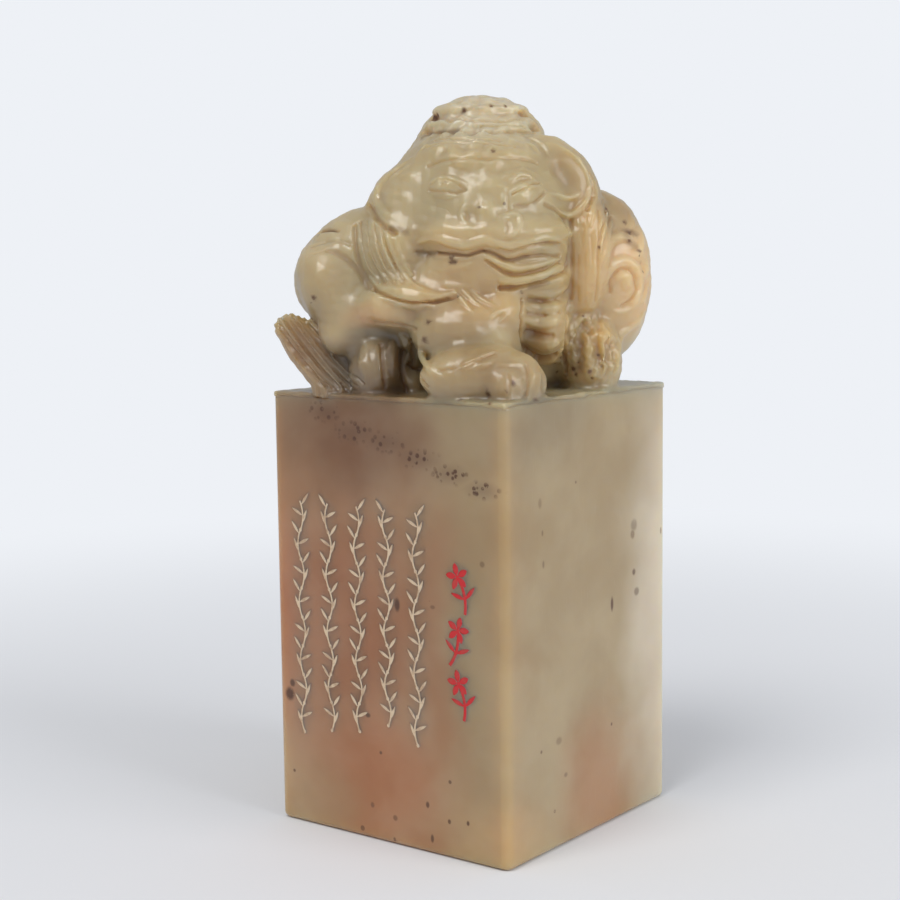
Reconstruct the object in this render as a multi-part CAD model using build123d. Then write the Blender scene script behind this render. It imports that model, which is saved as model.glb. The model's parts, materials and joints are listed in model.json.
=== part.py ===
from build123d import *
from build123d import SkipClean
import math
import os

# A carved stone seal: a square block, engraved on one side, with a crouching beast for its knob.
# Millimetres, +Z up. The origin is the middle of the seal face and -Y is the engraved face.
# The beast has a frame of its own, whose origin is the middle of the block's top: X is across
# as the face is seen, Y is back, Z is up. It is turned from the block by gaze_angle.
# Left and right are as seen by someone who faces the beast.
# Shares are of half the width, depth and height of the form that carries the next one,
# measured from its middle.

# Block
block_side = 22.0
block_height = 33.5
block_corner_radius = 0.7
block_shoulder_radius = 0.35
block_foot_radius = 0.5
gaze_angle = 37.3
cut_overrun = 1.0

# Seal face
seal_border = 1.3
relief_depth = 0.7
blossom_heart_radius = 1.15
blossom_ring_gap = 0.45
petal_length = 4.4
petal_width = 3.9
petal_count = 5
corner_leaf_length = 3.6
corner_leaf_width = 1.25
corner_leaf_inset = 3.3
corner_leaf_spread = 38

# Engraving on the front
groove_depth = 0.25
pigment_sink = 0.03
cream_columns = 5
cream_units = 8
cream_margin = 2.65
cream_drop = 8.1
cream_foot = 7.3
cream_stroke = 0.17
cream_sway = 0.28
cream_leaf_length = 1.25
cream_leaf_width = 0.26
cream_bud_radius = 0.15
cream_leaf_angles = (38, 64, 24)
cream_leaf_start_shares = (0.14, 0.5, 0.78)
cream_length_shares = (1.0, 0.97, 0.95, 0.9, 0.96)
red_margin = 4.35
red_gap = 3.8
red_drop = 11.4
red_foot = 10.4
red_sprigs = 3
red_stroke = 0.27
red_petal_length = 0.95
red_petal_width = 0.5
red_petal_start = 0.08
red_stem_length = 1.75
red_stem_sway = 0.3
red_leaf_length = 1.35
red_leaf_width = 0.34
red_leaf_start_share = 0.62
red_leaf_angles = (35, 150)
red_lean_angles = (14, -16, 10)

# Trunk
torso_width = 19.0
torso_depth = 15.0
torso_height = 16.0
torso_shift_shares = (0.03, 0.21)
torso_seat_share = 0.35
rump_width = 11.0
rump_depth = 10.0
rump_height = 12.0
rump_shares = (-0.08, 0.8, 0.0)
spine_knob_width = 2.2
spine_knob_depth = 2.6
spine_knob_height = 2.4
spine_knobs = 6
spine_start_angle = 84
spine_end_angle = 14

# Hind quarter on the left
left_haunch_width = 12.1
left_haunch_depth = 8.2
left_haunch_height = 8.9
left_haunch_shares = (-0.855, -0.3, 0.5)
left_haunch_turn = (0, -26, 0)
left_hock_width = 3.6
left_hock_depth = 4.6
left_hock_height = 4.2
left_hock_shares = (-1.06, -0.8, -0.06)
hind_foot_width = 4.2
hind_foot_depth = 5.0
hind_foot_height = 5.0
hind_foot_shares = (-0.78, -0.9)
hind_foot_seat_share = 0.36
tail_strands = 6
tail_strand_length = 8.6
tail_strand_width = 0.8
tail_strand_depth = 2.6
tail_root_shares = (-0.93, -0.78)
tail_fan_pitch = 0.42
tail_rise_angle = 49
tail_tilt_angle = -12
tail_root_sink = 1.0

# Foreleg in front
left_forearm_width = 6.4
left_forearm_depth = 4.4
left_forearm_height = 2.9
left_forearm_shares = (-0.62, -0.98, 0.1)
left_forearm_turn = (0, 12, 0)
front_knee_width = 7.8
front_knee_depth = 6.2
front_knee_height = 5.6
front_knee_shares = (-0.1, -1.18, -0.1)
front_paw_width = 9.0
front_paw_depth = 5.6
front_paw_height = 4.6
front_paw_shares = (0.03, -1.6)
front_paw_seat_share = 0.38
toe_width = 2.5
toe_depth = 2.9
toe_height = 3.0
toe_angles = (-62, -28, 6)
toe_reach_share = 0.78
toe_seat_share = 0.4

# Chest
chest_rings = 5
chest_ring_width = 4.4
chest_ring_depth = 5.4
chest_ring_height = 1.9
chest_ring_pitch = 1.08
chest_taper_share = 0.14
chest_shares = (0.55, -0.86)
chest_start_share = 1.1

# Shoulder and paw on the right
right_shoulder_width = 8.6
right_shoulder_depth = 8.6
right_shoulder_height = 13.6
right_shoulder_shares = (1.0, -0.08, 0.36)
right_paw_width = 4.8
right_paw_depth = 5.6
right_paw_height = 7.0
right_paw_shares = (0.93, -0.5)
right_paw_seat_share = 0.34

# Head
head_width = 13.4
head_depth = 13.0
head_height = 12.4
head_shares = (0.1, -0.43, 0.91)
muzzle_width = 11.8
muzzle_depth = 7.4
muzzle_height = 4.2
muzzle_shares = (0.03, -0.56, -0.16)
lower_jaw_width = 12.2
lower_jaw_depth = 7.6
lower_jaw_height = 4.8
lower_jaw_shares = (0.0, -0.48, -0.64)
nose_width = 4.6
nose_depth = 2.8
nose_height = 3.4
nose_shares = (-0.02, -1.04, 0.1)
brow_width = 9.6
brow_depth = 3.4
brow_height = 2.2
brow_shares = (0.0, -0.74, 0.6)
eye_width = 3.2
eye_depth = 2.0
eye_height = 1.7
left_eye_shares = (-0.42, -0.78, 0.4)
right_eye_shares = (0.42, -0.78, 0.36)
eye_turn_angle = 6
left_ear_width = 3.7
left_ear_depth = 4.2
left_ear_height = 7.0
left_ear_shares = (-0.97, -0.1, 0.36)
left_ear_turn = (0, 43, 0)
right_ear_width = 5.2
right_ear_depth = 5.0
right_ear_height = 8.2
right_ear_shares = (0.84, -0.02, 0.46)
right_ear_turn = (0, -36, 0)

# Crown of hair
crown_aside_share = -0.04
crown_back_share = 0.22
crown_lower_width = 10.7
crown_lower_depth = 10.0
crown_lower_height = 3.25
crown_lower_seat_share = 0.5
crown_middle_width = 9.1
crown_middle_depth = 8.8
crown_middle_height = 1.3
crown_top_width = 7.3
crown_top_depth = 7.2
crown_top_height = 1.75
crown_roll_share = 0.45
crown_dome_share = 0.92

# Hair round the head
left_mane_width = 3.8
left_mane_depth = 5.0
left_mane_height = 7.4
left_mane_shares = (-1.12, -0.46, -0.36)
left_mane_turn = (0, -18, 0)
right_mane_width = 3.8
right_mane_depth = 5.0
right_mane_height = 9.6
right_mane_shares = (1.1, -0.2, -0.42)
right_mane_turn = (0, 2, 0)
neck_ruff_width = 9.0
neck_ruff_depth = 6.4
neck_ruff_height = 2.8
neck_ruff_shares = (-0.62, -0.6, -0.92)
neck_ruff_turn = (0, 8, 0)
back_mane_width = 11.0
back_mane_depth = 6.4
back_mane_height = 10.4
back_mane_shares = (0.0, 0.82, -0.02)


def quartered_ball():
    """A ball of radius 1 in four quarters, so that no patch of its surface closes on itself.

    Its poles are at the front and the back, away from where most forms meet.
    """
    quarters = [Rot(0, 0, turn) * Sphere(1, arc_size3=90, align=None) for turn in (0, 90, 180, 270)]
    with SkipClean():
        ball = quarters[0] + quarters[1] + quarters[2] + quarters[3]
    return Rot(90, 0, 0) * ball


unit_ball = quartered_ball()


class Form:
    """A rounded carved form: full sizes, place and turn in the beast's frame."""

    def __init__(self, width, depth, height, place, turn=(0, 0, 0)):
        self.sizes = (width, depth, height)
        self.place = place
        self.turn = turn

    def at(self, shares):
        """The place that lies these shares of the half sizes from the middle."""
        offsets = [share * size / 2 for share, size in zip(shares, self.sizes)]
        return self.place + Vector(*offsets)

    def seat(self, shares, height):
        """The place at these shares across and back, at a height over the block's top."""
        spot = self.at((*shares, 0))
        return Vector(spot.X, spot.Y, height)

    def solid(self):
        """The ellipsoid of these sizes."""
        halves = tuple(size / 2 for size in self.sizes)
        return Pos(self.place) * Rot(*self.turn) * scale(unit_ball, by=halves)


def largest_solid(shape):
    """The largest of the solids that a cut leaves."""
    return max(shape.solids(), key=lambda solid: solid.volume)


def boxes_meet(first, second):
    """Whether two bounding boxes overlap."""
    lows = [max(low, other) for low, other in zip(first.min, second.min)]
    highs = [min(high, other) for high, other in zip(first.max, second.max)]
    return all(low < high for low, high in zip(lows, highs))


# Flat shapes

def leaf(length, width, start, angle):
    """A pointed leaf from start, towards an angle in degrees."""
    axis = Vector(math.cos(math.radians(angle)), math.sin(math.radians(angle)))
    side = Vector(-axis.Y, axis.X) * width / 2
    foot = Vector(*start)
    tip = foot + axis * length
    middle = foot + axis * length / 2
    upper = ThreePointArc(foot, middle + side, tip)
    lower = ThreePointArc(tip, middle - side, foot)
    return make_face([upper, lower])


def curved_stroke(start, end, sway, width):
    """A stroke of even width on an arc from start to end."""
    first = Vector(*start)
    last = Vector(*end)
    along = (last - first).normalized()
    middle = (first + last) / 2 + Vector(-along.Y, along.X) * sway
    return trace(ThreePointArc(first, middle, last), width)


def joined(faces):
    """One sketch of all these flat shapes."""
    return Sketch() + faces


# Engraved ornament

def cream_vine(x, top, height, mirror):
    """A thin vine down one column, with blade leaves and buds on alternate sides."""
    shapes = []
    step = height / cream_units
    for unit in range(cream_units):
        side = mirror if unit % 2 == 0 else -mirror
        leaf_side = side
        head = top - unit * step
        shapes.append(curved_stroke((x, head), (x, head - step), side * cream_sway, cream_stroke))
        for share, tilt in zip(cream_leaf_start_shares, cream_leaf_angles):
            bulge = 4 * share * (1 - share)
            foot = (x + side * cream_sway * bulge, head - share * step)
            shapes.append(leaf(cream_leaf_length, cream_leaf_width, foot, 90 - leaf_side * tilt))
            leaf_side = -leaf_side
        shapes.append(Pos(x, head - step, 0) * Circle(cream_bud_radius))
    return shapes


def cream_pattern():
    """The five columns of cream vines, as one sketch on the front face."""
    top = block_height - cream_drop
    full_height = top - cream_foot
    first_x = -block_side / 2 + cream_margin
    last_x = block_side / 2 - red_margin - red_gap
    pitch = (last_x - first_x) / (cream_columns - 1)
    shapes = []
    for column in range(cream_columns):
        height = full_height * cream_length_shares[column % len(cream_length_shares)]
        mirror = 1 if column % 2 == 0 else -1
        shapes += cream_vine(first_x + column * pitch, top, height, mirror)
    return joined(shapes)


def red_sprig(x, top, lean):
    """A five-petalled blossom on a curved stem with two leaves, leaning by some degrees."""
    reach = red_petal_start + red_petal_length
    shapes = [Circle(red_stroke / 2)]
    for petal in range(petal_count):
        angle = 90 + petal * 360 / petal_count
        direction = Vector(math.cos(math.radians(angle)), math.sin(math.radians(angle)))
        foot = direction * red_petal_start
        shapes.append(leaf(red_petal_length, red_petal_width, (foot.X, foot.Y), angle))
    stem_length = reach + red_stem_length
    shapes.append(curved_stroke((0, 0), (0, -stem_length), red_stem_sway, red_stroke))
    bulge = 4 * red_leaf_start_share * (1 - red_leaf_start_share)
    leaf_start = (red_stem_sway * bulge, -red_leaf_start_share * stem_length)
    for angle in red_leaf_angles:
        shapes.append(leaf(red_leaf_length, red_leaf_width, leaf_start, angle))
    return Pos(x, top - reach, 0) * Rot(0, 0, lean) * joined(shapes)


def red_pattern():
    """The column of red blossom sprigs, as one sketch on the front face."""
    top = block_height - red_drop
    x = block_side / 2 - red_margin
    step = (top - red_foot) / red_sprigs
    sprigs = [
        red_sprig(x, top - sprig * step, red_lean_angles[sprig % len(red_lean_angles)])
        for sprig in range(red_sprigs)
    ]
    return joined(sprigs)


def front_plane(sink):
    """The plane of the engraved face, sunk into the stone."""
    return Plane(origin=(0, -block_side / 2 + sink, 0), x_dir=(1, 0, 0), z_dir=(0, -1, 0))


def groove(pattern):
    """The space that an engraved pattern takes out of the block."""
    outline = front_plane(-cut_overrun) * pattern
    return extrude(outline, amount=-(groove_depth + cut_overrun))


def pigment(pattern):
    """The pigment that fills the grooves of a pattern, to just under the surface."""
    outline = front_plane(pigment_sink) * pattern
    return extrude(outline, amount=-(groove_depth - pigment_sink))


# Seal face

def blossom():
    """The raised blossom in the middle of the seal face."""
    petals = []
    for petal in range(petal_count):
        angle = 90 + petal * 360 / petal_count
        petals.append(leaf(petal_length + blossom_heart_radius, petal_width, (0, 0), angle))
    flower = joined(petals) - Circle(blossom_heart_radius + blossom_ring_gap)
    return flower + Circle(blossom_heart_radius)


def corner_leaves():
    """A spray of three raised leaves in each corner of the seal face."""
    reach = block_side / 2 - seal_border - corner_leaf_inset
    leaves = []
    for corner in range(4):
        outward = 45 + corner * 90
        turn = math.radians(outward)
        foot = (reach * math.copysign(1, math.cos(turn)), reach * math.copysign(1, math.sin(turn)))
        for tilt in (-corner_leaf_spread, 0, corner_leaf_spread):
            leaves.append(leaf(corner_leaf_length, corner_leaf_width, foot, outward + tilt))
    return joined(leaves)


def seal_field():
    """The sunk ground of the seal face, between the border and the raised ornament."""
    inner = block_side - 2 * seal_border
    ground = Rectangle(inner, inner)
    ornament = (blossom() + corner_leaves()) & ground
    ground = ground - ornament
    return extrude(Pos(0, 0, -cut_overrun) * ground, amount=relief_depth + cut_overrun)


def make_seal_block(patterns):
    """The block, with rounded edges, the engraved patterns and the carved seal face."""
    seat = (Align.CENTER, Align.CENTER, Align.MIN)
    block = Box(block_side, block_side, block_height, align=seat)
    block = fillet(block.edges().filter_by(Axis.Z), block_corner_radius)
    block = fillet(block.edges().group_by(Axis.Z)[-1], block_shoulder_radius)
    block = fillet(block.edges().group_by(Axis.Z)[0], block_foot_radius)
    return block - [groove(pattern) for pattern in patterns] - seal_field()


# Trunk

def spine_ridge(rump):
    """A row of knobs over the rump and down its back, fused into one ridge."""
    ridge = []
    for knob in range(spine_knobs):
        fall = (spine_start_angle - spine_end_angle) * knob / (spine_knobs - 1)
        angle = math.radians(spine_start_angle - fall)
        place = rump.at((0, math.cos(angle), math.sin(angle)))
        ridge.append(Form(spine_knob_width, spine_knob_depth, spine_knob_height, place).solid())
    return Part() + ridge


# Hind quarter

def tail_fan(torso):
    """Side-by-side strands that rise from the block's top towards the left corner."""
    root = torso.seat(tail_root_shares, -tail_root_sink)
    rise = Rot(0, -90 + tail_rise_angle, 0)
    strands = []
    for strand in range(tail_strands):
        aside = (strand - (tail_strands - 1) / 2) * tail_fan_pitch
        lump = Form(tail_strand_width, tail_strand_depth, tail_strand_length, Vector(0, 0, 0))
        middle = Pos(aside, 0, tail_strand_length / 2)
        strands.append(Pos(root) * Rot(tail_tilt_angle, 0, 0) * rise * middle * lump.solid())
    return Part() + strands


# Foreleg

def front_paw(torso):
    """The paw over the block's front corner, with toes at its right-hand end."""
    place = torso.seat(front_paw_shares, front_paw_height * front_paw_seat_share)
    palm = Form(front_paw_width, front_paw_depth, front_paw_height, place)
    lumps = [palm.solid()]
    for angle in toe_angles:
        turn = math.radians(angle)
        spot = palm.at((toe_reach_share * math.cos(turn), toe_reach_share * math.sin(turn), 0))
        middle = Vector(spot.X, spot.Y, toe_height * toe_seat_share)
        lumps.append(Form(toe_width, toe_depth, toe_height, middle, (0, 0, angle)).solid())
    return Part() + lumps


# Chest

def ringed_chest(torso):
    """A stack of rolls that grows narrower downwards."""
    rings = []
    for ring in range(chest_rings):
        size_share = 1 - chest_taper_share * (chest_rings - 1 - ring)
        height = chest_ring_height * chest_start_share + ring * chest_ring_pitch
        place = torso.seat(chest_shares, height)
        roll = Form(chest_ring_width * size_share, chest_ring_depth, chest_ring_height, place)
        rings.append(roll.solid())
    return Part() + rings


# Crown

def tier(width, depth, height, place, roll_share):
    """A low elliptical roll of hair, flat below, its edge rounded by a share of its height."""
    disc = extrude(Ellipse(width / 2, depth / 2), amount=height)
    return Pos(place) * fillet(disc.edges().group_by(Axis.Z)[-1], height * roll_share)


def crown(head):
    """The three tiers of hair, from the lowest up."""
    base = head.at((crown_aside_share, crown_back_share, crown_lower_seat_share))
    lower = tier(
        crown_lower_width, crown_lower_depth, crown_lower_height, base, crown_roll_share)
    middle_seat = base + Vector(0, 0, crown_lower_height)
    middle = tier(
        crown_middle_width, crown_middle_depth, crown_middle_height, middle_seat, crown_roll_share)
    top_seat = middle_seat + Vector(0, 0, crown_middle_height)
    top = tier(crown_top_width, crown_top_depth, crown_top_height, top_seat, crown_dome_share)
    return lower, middle, top


# Whole beast

def beast_solids():
    """Each carved form by its name, the ones that cut their neighbours first."""
    torso_place = Vector(
        torso_shift_shares[0] * torso_width / 2,
        torso_shift_shares[1] * torso_depth / 2,
        torso_seat_share * torso_height,
    )
    torso = Form(torso_width, torso_depth, torso_height, torso_place)
    head = Form(head_width, head_depth, head_height, torso.at(head_shares))
    rump = Form(rump_width, rump_depth, rump_height, torso.at(rump_shares))
    crown_lower, crown_middle, crown_top = crown(head)
    foot_seat = torso.seat(hind_foot_shares, hind_foot_height * hind_foot_seat_share)
    paw_seat = torso.seat(right_paw_shares, right_paw_height * right_paw_seat_share)
    forms = {
        "torso": torso,
        "head": head,
        "right_shoulder": Form(
            right_shoulder_width, right_shoulder_depth, right_shoulder_height,
            torso.at(right_shoulder_shares)),
        "left_haunch": Form(
            left_haunch_width, left_haunch_depth, left_haunch_height,
            torso.at(left_haunch_shares), left_haunch_turn),
        "rump": rump,
        "lower_jaw": Form(
            lower_jaw_width, lower_jaw_depth, lower_jaw_height, head.at(lower_jaw_shares)),
        "muzzle": Form(muzzle_width, muzzle_depth, muzzle_height, head.at(muzzle_shares)),
        "crown_lower": crown_lower,
        "crown_middle": crown_middle,
        "crown_top": crown_top,
        "front_knee": Form(
            front_knee_width, front_knee_depth, front_knee_height, torso.at(front_knee_shares)),
        "front_paw": front_paw(torso),
        "right_ear": Form(
            right_ear_width, right_ear_depth, right_ear_height,
            head.at(right_ear_shares), right_ear_turn),
        "left_ear": Form(
            left_ear_width, left_ear_depth, left_ear_height,
            head.at(left_ear_shares), left_ear_turn),
        "right_paw": Form(right_paw_width, right_paw_depth, right_paw_height, paw_seat),
        "left_hock": Form(
            left_hock_width, left_hock_depth, left_hock_height, torso.at(left_hock_shares)),
        "hind_foot": Form(hind_foot_width, hind_foot_depth, hind_foot_height, foot_seat),
        "tail": tail_fan(torso),
        "right_mane": Form(
            right_mane_width, right_mane_depth, right_mane_height,
            head.at(right_mane_shares), right_mane_turn),
        "left_mane": Form(
            left_mane_width, left_mane_depth, left_mane_height,
            head.at(left_mane_shares), left_mane_turn),
        "back_mane": Form(
            back_mane_width, back_mane_depth, back_mane_height, head.at(back_mane_shares)),
        "left_forearm": Form(
            left_forearm_width, left_forearm_depth, left_forearm_height,
            torso.at(left_forearm_shares), left_forearm_turn),
        "neck_ruff": Form(
            neck_ruff_width, neck_ruff_depth, neck_ruff_height,
            head.at(neck_ruff_shares), neck_ruff_turn),
        "chest_rings": ringed_chest(torso),
        "spine_ridge": spine_ridge(rump),
        "nose": Form(nose_width, nose_depth, nose_height, head.at(nose_shares)),
        "brow_ridge": Form(brow_width, brow_depth, brow_height, head.at(brow_shares)),
        "left_eye": Form(
            eye_width, eye_depth, eye_height, head.at(left_eye_shares), (0, eye_turn_angle, 0)),
        "right_eye": Form(
            eye_width, eye_depth, eye_height, head.at(right_eye_shares), (0, -eye_turn_angle, 0)),
    }
    return {name: form.solid() if isinstance(form, Form) else form for name, form in forms.items()}


def above_block(form, box):
    """The part of a form, with this bounding box, that stands over the block's top."""
    if box.min.Z >= 0:
        return form
    slab = Box(
        box.size.X + 2 * cut_overrun,
        box.size.Y + 2 * cut_overrun,
        cut_overrun - box.min.Z,
        align=(Align.CENTER, Align.CENTER, Align.MAX),
    )
    return form - Pos(box.center().X, box.center().Y, 0) * slab


def make_beast():
    """The beast's nodes, each cut back to where the forms before it begin."""
    placed = Pos(0, 0, block_height) * Rot(0, 0, gaze_angle)
    whole_forms = []
    nodes = {}
    for name, form in beast_solids().items():
        box = form.bounding_box()
        cut = above_block(form, box)
        for other, other_box in whole_forms:
            if boxes_meet(box, other_box):
                cut = cut - other
        nodes[name] = placed * largest_solid(cut)
        whole_forms.append((form, box))
    return nodes


def make_nodes():
    """Every node of the seal by its name."""
    cream = cream_pattern()
    red = red_pattern()
    nodes = {
        "seal_block": make_seal_block((cream, red)),
        "cream_inlay": pigment(cream),
        "red_inlay": pigment(red),
    }
    nodes.update(make_beast())
    return nodes


os.makedirs("parts", exist_ok=True)
for node_name, node in make_nodes().items():
    node.label = node_name
    export_step(node, "parts/" + node_name + ".step")
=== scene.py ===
import bpy
import bmesh
import json
import math
import numpy as np
from mathutils import Matrix, Vector
from mathutils.bvhtree import BVHTree


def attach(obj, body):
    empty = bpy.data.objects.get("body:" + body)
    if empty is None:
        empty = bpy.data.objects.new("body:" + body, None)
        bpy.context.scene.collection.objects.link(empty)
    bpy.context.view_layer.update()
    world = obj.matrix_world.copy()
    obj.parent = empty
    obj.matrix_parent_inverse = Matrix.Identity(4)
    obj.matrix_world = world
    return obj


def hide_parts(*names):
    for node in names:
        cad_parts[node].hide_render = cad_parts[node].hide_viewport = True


# A carved stone seal. Its block and its engraving keep their CAD nodes, and the beast on top is
# carved here in millimetres: the CAD forms are melted together, rolls of stone are laid on
# them, lines are cut in, and the result is scaled to metres as one piece.
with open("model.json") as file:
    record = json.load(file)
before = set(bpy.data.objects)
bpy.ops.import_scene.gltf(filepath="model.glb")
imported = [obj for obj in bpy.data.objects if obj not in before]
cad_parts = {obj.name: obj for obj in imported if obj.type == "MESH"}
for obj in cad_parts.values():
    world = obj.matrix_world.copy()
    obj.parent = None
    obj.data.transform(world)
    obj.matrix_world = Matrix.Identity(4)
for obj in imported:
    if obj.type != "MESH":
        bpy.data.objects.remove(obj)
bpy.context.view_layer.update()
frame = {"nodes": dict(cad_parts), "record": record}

MM = 0.001
# Points of a CAD mesh that are closer than this are one, in metres
merge_distance = 1e-7
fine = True

# Camera, in millimetres, and the photograph's frame in pixels
camera_place = Vector((81.06, -109.32, 44.67))
camera_right = Vector((0.79630, 0.60478, -0.01211))
camera_up = Vector((-0.06082, 0.09997, 0.99313))
camera_back = Vector((0.60183, -0.79010, 0.11639))
photo_size = 900
photo_middle = 450
photo_focal = 1750
sensor_width = 36

block_height = 33.5
block_half = 11

# How finely the stone is melted together, filled, carved and thinned, in millimetres and passes
melt_voxel = 0.17
melt_passes = 6
fill_passes = 2
crisp_passes = 2
fill_reach = 0.4
carve_voxel = 0.095 if fine else 0.14
carve_passes = 2
carving_triangles = 196000 if fine else 120000


# Looking at the stone

class Photo:
    """Looks through a pixel of the photograph."""

    def ray(self, x, y):
        across = (x - photo_middle) / photo_focal
        upward = (photo_middle - y) / photo_focal
        direction = camera_right * across + camera_up * upward - camera_back
        return camera_place, direction.normalized()


class Side:
    """Looks level from a compass angle: x is across as seen from there, y is the height."""

    distance = 60

    def __init__(self, azimuth):
        turn = math.radians(azimuth)
        self.outward = Vector((math.sin(turn), -math.cos(turn), 0))
        self.across = Vector((math.cos(turn), math.sin(turn), 0))

    def ray(self, x, y):
        start = self.outward * self.distance + self.across * x + Vector((0, 0, y))
        return start, -self.outward


photo = Photo()


class Skin:
    """The surface of a mesh, for finding where a look meets it."""

    def __init__(self, mesh):
        points = [vertex.co.copy() for vertex in mesh.vertices]
        faces = [tuple(face.vertices) for face in mesh.polygons]
        self.tree = BVHTree.FromPolygons(points, faces)

    def spots(self, view, points):
        """The places and outward normals where the looks through these points land."""
        landed = []
        for point in points:
            start, direction = view.ray(*point)
            place, normal, _, _ = self.tree.ray_cast(start, direction)
            if place is not None:
                landed.append((place, normal))
        return landed


# Meshes

def read_points(mesh, what="co"):
    """The places or the normals of a mesh's points, one row each."""
    values = np.empty(len(mesh.vertices) * 3)
    mesh.vertices.foreach_get(what, values)
    return values.reshape(-1, 3)


def write_points(mesh, points):
    """Moves a mesh's points to these places."""
    mesh.vertices.foreach_set("co", points.ravel())
    mesh.update()
    return mesh


def mesh_of(shape, name):
    """The mesh of a bmesh, which is used up."""
    mesh = bpy.data.meshes.new(name)
    shape.to_mesh(mesh)
    shape.free()
    return mesh


def new_object(name, data):
    """An object of this mesh, curve, light or camera, linked to the scene."""
    made = bpy.data.objects.new(name, data)
    bpy.context.scene.collection.objects.link(made)
    return made


def baked(source, name):
    """The mesh of an object with its modifiers, and the object removed."""
    bpy.context.view_layer.update()
    seen = source.evaluated_get(bpy.context.evaluated_depsgraph_get())
    mesh = bpy.data.meshes.new_from_object(seen)
    mesh.name = name
    bpy.data.objects.remove(source)
    return mesh


def melted(parts, voxel, passes):
    """One closed skin round all these meshes, smoothed a little."""
    gathered = bmesh.new()
    for part in parts:
        gathered.from_mesh(part)
    lump = new_object("melt", mesh_of(gathered, "melt"))
    remesh = lump.modifiers.new("remesh", "REMESH")
    remesh.mode = "VOXEL"
    remesh.voxel_size = voxel
    smooth = lump.modifiers.new("smooth", "SMOOTH")
    smooth.factor = 0.5
    smooth.iterations = passes
    return baked(lump, "melted")


def swollen(mesh, reach):
    """Moves every point of a mesh out along its normal, or in where reach is negative."""
    return write_points(mesh, read_points(mesh) + read_points(mesh, "normal") * reach)


def filled(parts):
    """The skin round all these meshes, with the clefts between them filled."""
    skin = swollen(melted(parts, melt_voxel, fill_passes), fill_reach)
    return swollen(melted([skin], melt_voxel, melt_passes), -fill_reach)


def node_copy(name):
    """A CAD node's mesh in millimetres, its doubles merged."""
    copied = bmesh.new()
    copied.from_mesh(frame["nodes"][name].data)
    bmesh.ops.remove_doubles(copied, verts=copied.verts, dist=merge_distance)
    bmesh.ops.scale(copied, vec=(1 / MM, 1 / MM, 1 / MM), verts=copied.verts)
    return mesh_of(copied, name + "_copy")


# Rolls of stone

# The share of a roll's length over which each end runs out
roll_taper = 0.3
# The least radius of a roll, in millimetres, and the least share of one that isn't sunk
least_radius = 0.03
least_share = 0.2


def swell(count):
    """From 0 at each end to 1 within: how far a roll stands out along its length."""
    shares = []
    for step in range(count):
        along = step / (count - 1)
        risen = min(1, along / roll_taper, (1 - along) / roll_taper)
        shares.append(math.sin(risen * math.pi / 2))
    return shares


class Rolls:
    """Round rolls laid on a skin, each sunk so that a low rounded ridge stands out."""

    def __init__(self, skin):
        self.skin = skin
        self.curve = bpy.data.curves.new("rolls", "CURVE")
        self.curve.dimensions = "3D"
        self.curve.bevel_depth = 1
        self.curve.bevel_resolution = 2
        self.curve.use_fill_caps = True
        self.curve.resolution_u = 6

    def free(self, places, radii):
        """A roll through these places with these radii."""
        spline = self.curve.splines.new("NURBS")
        spline.points.add(len(places) - 1)
        for point, place, radius in zip(spline.points, places, radii):
            point.co = (*place, 1)
            point.radius = radius
        spline.order_u = 3
        spline.use_endpoint_u = True

    def lay(self, view, width, height, points):
        """A ridge of this width and height through these points of a view."""
        spots = self.skin.spots(view, points)
        if len(spots) < 3:
            return
        radius = (width * width / 4 + height * height) / (2 * height)
        sunk = radius - height
        places = [place - normal * sunk for place, normal in spots]
        radii = [max(least_radius, sunk + height * share) if sunk > 0
                 else radius * max(least_share, share) for share in swell(len(spots))]
        self.free(places, radii)

    def mesh(self):
        """All the rolls as one mesh."""
        return baked(new_object("rolls", self.curve), "rolls")


# Cut lines

# A line moves only stone that faces its way at least this much
least_facing = -0.1
# A dimple is a line of this length, in pixels, with a narrow middle
dimple_length = 0.2
dimple_sharpness = 2.0
# How steeply an area fades at its edge
area_fade = 1.6
# Waves that add up to a ripple, and how much their lengths differ
ripple_waves = 9
ripple_spread = (0.6, 1.5)


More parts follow.
